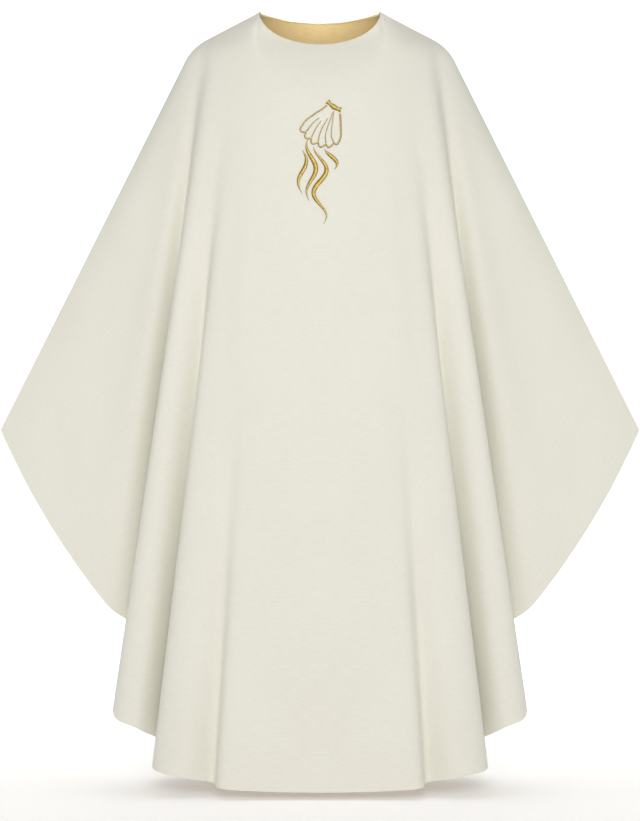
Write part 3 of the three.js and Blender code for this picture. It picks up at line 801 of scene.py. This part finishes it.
def neck_loop():
    """Points and normals once round the neck: across the front, then back across the nape."""
    points, normals = [], []
    for face_name, order in (("front", 1), ("back", -1)):
        grid, normal = GRIDS[face_name], NORMALS[face_name]
        half = [(grid[0, c], normal[0, c]) for c in range(NECK_COLUMN + 1)]
        mirror = MIRROR["right"]
        whole = [(p * mirror, n * mirror) for p, n in reversed(half[1:])] + half
        whole = whole[::order]
        keep = whole if order > 0 else whole[1:-1]
        points += [p for p, _ in keep]
        normals += [n for _, n in keep]
    return np.array(points), np.array(normals)


# %% The roll
def neck_binding():
    points, normals = neck_loop()
    tangent = unit_rows(np.roll(points, -1, axis=0) - np.roll(points, 1, axis=0))
    inward = unit_rows(np.cross(normals, tangent))
    out = np.cross(tangent, inward)
    out *= np.sign((out * normals).sum(axis=1, keepdims=True))
    thick = LINING_AT + LINING_THICK + 2 * BINDING_PROUD
    middle = points + inward * (LAYER_GAP + BINDING_HEIGHT / 2) + out * (BINDING_PROUD - thick / 2)
    turns = [2 * math.pi * k / SECTION for k in range(SECTION)]
    rings = [middle + inward * (BINDING_HEIGHT / 2 * math.sin(turn))
             + out * (thick / 2 * math.cos(turn)) for turn in turns]
    count = len(points)
    faces = []
    for i in range(count):
        j = (i + 1) % count
        for k in range(SECTION):
            m = (k + 1) % SECTION
            faces.append((i * SECTION + k, j * SECTION + k, j * SECTION + m, i * SECTION + m))
    obj = new_object("neck_binding_roll", np.stack(rings, axis=1).reshape(-1, 3), faces)
    run = np.concatenate([[0], np.cumsum(np.linalg.norm(np.diff(points, axis=0), axis=1))])
    vertex = np.arange(count * SECTION)
    lay_pattern(obj, np.stack([run[vertex // SECTION], vertex % SECTION * ROLL_UV_STEP], axis=-1))
    obj.data.materials.append(BINDING)
    obj.data.materials.append(LINING)
    half_step = math.pi / SECTION
    inner_side = [1 if math.cos(turn + half_step) < LINING_FROM else 0 for turn in turns]
    obj.data.polygons.foreach_set("material_index", inner_side * count)
    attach(obj, "garment")
    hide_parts("neck_binding")
    return obj


roll = neck_binding()
print("binding points round the neck", len(roll.data.vertices) // SECTION)

# %% [markdown]
# ## The embroidery
# The motif is satin stitch: gold thread laid side by side across each shape, over padding, so
# that each stroke is a low rounded ridge that catches light along its crown. Each stroke is a
# domed ribbon along a smooth curve, and the threads are fine stripes across it. A painted
# highlight along the crown and painted shade towards the edges are added to the thread's colour
# too. Thousands of separate threads could be made as hair, but at this size they would only
# flicker.

# %% Gold thread
THREAD_PITCH = 0.0006
UV_HALF_WIDTH = 0.004  # every stroke is this wide in its thread pattern


BLACK, MID_GREY, FULL = (0, 0, 0), (0.35, 0.35, 0.35), (1, 1, 1)
OLD_GOLD, GOLD, PALE_GOLD = srgb(112, 84, 12), srgb(172, 139, 40), srgb(236, 214, 122)


def painted_crown_highlight(nodes, links, source):
    """Painted highlight a little off the middle of a stroke, and painted shade towards its edges.
    """
    split = nodes.new("ShaderNodeSeparateXYZ")
    links.new(source, split.inputs["Vector"])
    painted_highlight_across = nodes.new("ShaderNodeMapRange")
    painted_highlight_across.inputs["From Min"].default_value = -UV_HALF_WIDTH
    painted_highlight_across.inputs["From Max"].default_value = UV_HALF_WIDTH
    links.new(split.outputs["Y"], painted_highlight_across.inputs["Value"])
    # painted shade at one edge, painted highlight past the middle, lighter painted shade at the
    # other
    stops = [(0.0, BLACK), (0.62, FULL), (1.0, MID_GREY)]
    return ramp(nodes, links, painted_highlight_across.outputs["Result"], stops)


def gold_thread():
    material, nodes, links, shader = node_material("gold_thread")
    source = cloth_places(nodes)
    threads = bands(nodes, links, source, "X", THREAD_PITCH, 2.0, 2)
    runs = clouds(nodes, links, stretched(nodes, links, source, (240, 60, 1)), 1, 2)
    total = None
    # nearly half of the thread's colour is the painted highlight and shade across each stroke
    for part, share in ((runs, 0.4), (threads, 0.15), (painted_crown_highlight(nodes, links, source), 0.45)):
        weighted = nodes.new("ShaderNodeMath")
        weighted.operation = "MULTIPLY_ADD"
        weighted.inputs[1].default_value = share
        weighted.inputs[2].default_value = 0
        links.new(part, weighted.inputs[0])
        if total:
            links.new(total, weighted.inputs[2])
        total = weighted.outputs[0]
    colour = ramp(nodes, links, total, [(0.30, OLD_GOLD), (0.52, GOLD), (0.74, PALE_GOLD)])
    links.new(colour, shader.inputs["Base Color"])
    set_roughness(nodes, links, shader, runs, 0.28, 0.45)
    set_relief(nodes, links, shader, threads, 0.4, 0.0002)
    shader.inputs["Metallic"].default_value = 0.35
    shader.inputs["Sheen Weight"].default_value = 0.15
    return material


THREAD = gold_thread()
print("material", THREAD.name)

# %% [markdown]
# ## A stroke of stitches
# A stroke lies on the cloth wherever the cloth happens to be. The Shrinkwrap modifier could
# press it on, but it would flatten the ridge. So each point of a stroke is found by a ray from
# the front, and the ridge is raised from there.

# %% A smooth path, and the front as a target
STITCH_EDGE = 0.0001  # how high a stroke stands at its very edge
RAY_START_Y = -1.0
STITCH_LIFT = 0.0003
STITCH_HEIGHT = 0.0010
ACROSS = 8


def smooth_path(points, count):
    """A Catmull-Rom curve through points in the plane of the front."""
    points = np.array(points, float)
    place = np.linspace(0, len(points) - 1, count)
    ends = np.vstack([2 * points[0] - points[1], points, 2 * points[-1] - points[-2]])
    i = np.minimum(place.astype(int), len(points) - 2)
    f = (place - i)[:, None]
    a, b, c, d = ends[i], ends[i + 1], ends[i + 2], ends[i + 3]
    return b + 0.5 * f * (c - a + f * (2 * a - 5 * b + 4 * c - d + f * (3 * (b - c) + d - a)))


def front_tree():
    left = GRIDS["front"]
    right = left * MIRROR["right"]
    vertices, faces = [], []
    for grid in (left, right):
        rows, columns = grid.shape[:2]
        start = len(vertices)
        vertices += [Vector(p) for p in grid.reshape(-1, 3)]
        for r in range(rows - 1):
            for c in range(columns - 1):
                i = start + r * columns + c
                faces.append((i, i + columns, i + columns + 1, i + 1))
    return BVHTree.FromPolygons(vertices, faces)


FRONT_TREE = front_tree()


def on_front(x, z):
    hit = FRONT_TREE.ray_cast(Vector((x, RAY_START_Y, z)), Vector((0, 1, 0)))
    return hit[0].y


# %% One stroke
def stroke(name, path, width, count, node):
    path = smooth_path(path, count)
    tangent = np.gradient(path, axis=0)
    tangent /= np.linalg.norm(tangent, axis=1, keepdims=True)
    side = np.stack([-tangent[:, 1], tangent[:, 0]], axis=-1)
    run = np.concatenate([[0], np.cumsum(np.linalg.norm(np.diff(path, axis=0), axis=1))])
    top, base, uv = [], [], []
    for i, (p, s) in enumerate(zip(path, side)):
        w = width(i / (count - 1)) / 2
        for k in range(ACROSS + 1):
            t = -1 + 2 * k / ACROSS
            x, z = p + s * w * t
            y = on_front(x, z) - STITCH_LIFT
            dome = min(STITCH_HEIGHT, w) * math.sqrt(max(0, 1 - t * t))
            top.append((x, y - STITCH_EDGE - dome, z))
            base.append((x, y, z))
            uv.append((run[i], UV_HALF_WIDTH * t))
    shape = (count, ACROSS + 1)
    obj = solid_sheet(name, np.array(top).reshape(*shape, 3), np.array(base).reshape(*shape, 3),
                      True, THREAD, np.array(uv).reshape(*shape, 2))
    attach(obj, "garment")
    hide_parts(node)
    return obj


# %% [markdown]
# ## The shell
# A scallop shell hangs from its hinge, which is a short knotted bar. One long stroke goes round
# the shell's scalloped edge, and five ribs run from the hinge to the notches between the lobes.
# The lobes come from a formula in angle and distance from the hinge, so that they stay evenly
# spread.

# %% The shell
HINGE = np.array((0.024, -0.180))
SHELL_LENGTH = 0.064
LOBES = 6
SHELL_FROM, SHELL_TO = math.radians(207), math.radians(281)
HINGE_HALF, HINGE_TILT = 0.0135, math.radians(-31)
OUTLINE_WIDTH, RIB_WIDTH = 0.0024, 0.0020

lobe_turn = lambda i: SHELL_FROM + (SHELL_TO - SHELL_FROM) * i / LOBES
lobe_reach = lambda i: SHELL_LENGTH * (1 + 0.05 * math.sin(math.pi * i / LOBES)
                                       - 0.16 * (i / LOBES) ** 4)
from_hinge = lambda turn, reach: HINGE + np.array((math.cos(turn), math.sin(turn))) * reach


def shell():
    path = [from_hinge(SHELL_FROM + t, SHELL_LENGTH * r)
            for t, r in ((-0.92, 0.21), (-0.43, 0.32), (-0.23, 0.5), (-0.08, 0.8))]
    for i in range(LOBES):
        path.append(from_hinge(lobe_turn(i + 0.08), lobe_reach(i) * 0.96))
        path.append(from_hinge(lobe_turn(i + 0.25), lobe_reach(i + 0.25) * 1.02))
        path.append(from_hinge(lobe_turn(i + 0.5), lobe_reach(i + 0.5) * 1.05))
        path.append(from_hinge(lobe_turn(i + 0.75), lobe_reach(i + 0.75) * 1.02))
    path += [from_hinge(SHELL_TO + t, SHELL_LENGTH * r)
             for t, r in ((0.01, 0.8), (0.06, 0.7), (0.155, 0.5), (0.37, 0.3), (0.648, 0.208))]
    stroke("shell_outline_stitch", path, lambda f: OUTLINE_WIDTH * (1 + 0.5 * f ** 8), 260,
           "shell_outline")
    for i in range(1, LOBES):
        rib = [from_hinge(lobe_turn(i) - 0.14, SHELL_LENGTH * (0.28 + 0.22 * math.sin(i))),
               from_hinge(lobe_turn(i) - 0.09, SHELL_LENGTH * 0.68),
               from_hinge(lobe_turn(i), lobe_reach(i) * 0.96 - OUTLINE_WIDTH / 2 - RIB_WIDTH / 2)]
        stroke(f"shell_rib_{i}_stitch", rib, lambda f: RIB_WIDTH * (0.6 + 0.4 * f), 36,
               f"shell_rib_{i}")
    bar = np.array((math.cos(HINGE_TILT), math.sin(HINGE_TILT))) * HINGE_HALF
    at = lambda f, up: HINGE + bar * f + np.array((0, up))
    knot = [at(-1, 0.006), at(-0.45, 0.0035), at(0.35, 0.003), at(1, 0.005)]
    stroke("shell_hinge_stitch", knot, lambda f: 0.0075 + 0.0015 * math.cos(4 * math.pi * f), 40,
           "shell_hinge")


shell()
print("shell strokes", LOBES + 1)

# %% [markdown]
# ## The water
# Four streams of water fall from the shell. Each is a sine curve that swells in the middle and
# runs out to a point, as an embroiderer widens and narrows a satin stitch.

# %% The water
STREAM_TIP = 0.0008  # width at either end
# base, top, length, sway, waves, phase, width
WATER = {
    "water_outer_right": (-0.054, -0.070, 0.074, 0.007, 1.0, 0.0, 0.007),
    "water_long_right": (-0.039, -0.053, 0.103, 0.008, 1.3, -2.3, 0.008),
    "water_centre": (-0.024, -0.065, 0.130, 0.011, 1.65, -1.5, 0.008),
    "water_short_left": (-0.006, -0.069, 0.034, 0.011, 0.6, -1.2, 0.007),
}
for name, (base, top, length, sway, waves, phase, width) in WATER.items():
    path = []
    for f in np.linspace(0, 1, 25):
        x = base + sway * math.sin(2 * math.pi * waves * f + phase)
        path.append(HINGE + np.array((x, top - length * f)))
    swell = lambda f, w=width: STREAM_TIP + (w - STREAM_TIP) * math.sin(math.pi * f ** 0.85) ** 1.3
    stroke(f"{name}_stitch", path, swell, 90, name)
print("streams", len(WATER))

# %% [markdown]
# ## The embroidery's backing
# Behind the motif a piece of firm tape carries the stitches, so that they don't pucker the
# cloth. It lies between cloth and lining, across the centre, so its grid is mirrored into one
# sheet.

# %% The backing
BACKING_ROWS = slice(24, 52)
BACKING_COLUMNS = slice(0, STEPS_PER_LINE + 1)
grid = GRIDS["front"][BACKING_ROWS, BACKING_COLUMNS]
normal = NORMALS["front"][BACKING_ROWS, BACKING_COLUMNS]
both = lambda g: np.concatenate([(g * MIRROR["right"])[:, :0:-1], g], axis=1)
backing = solid_sheet("embroidery_backing_sheet", both(grid - normal * FACING_AT),
                      both(grid - normal * (FACING_AT + TAPE_THICK)), False, TAPE)
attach(backing, "garment")
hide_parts("embroidery_backing")
print("backing rows", grid.shape[0])
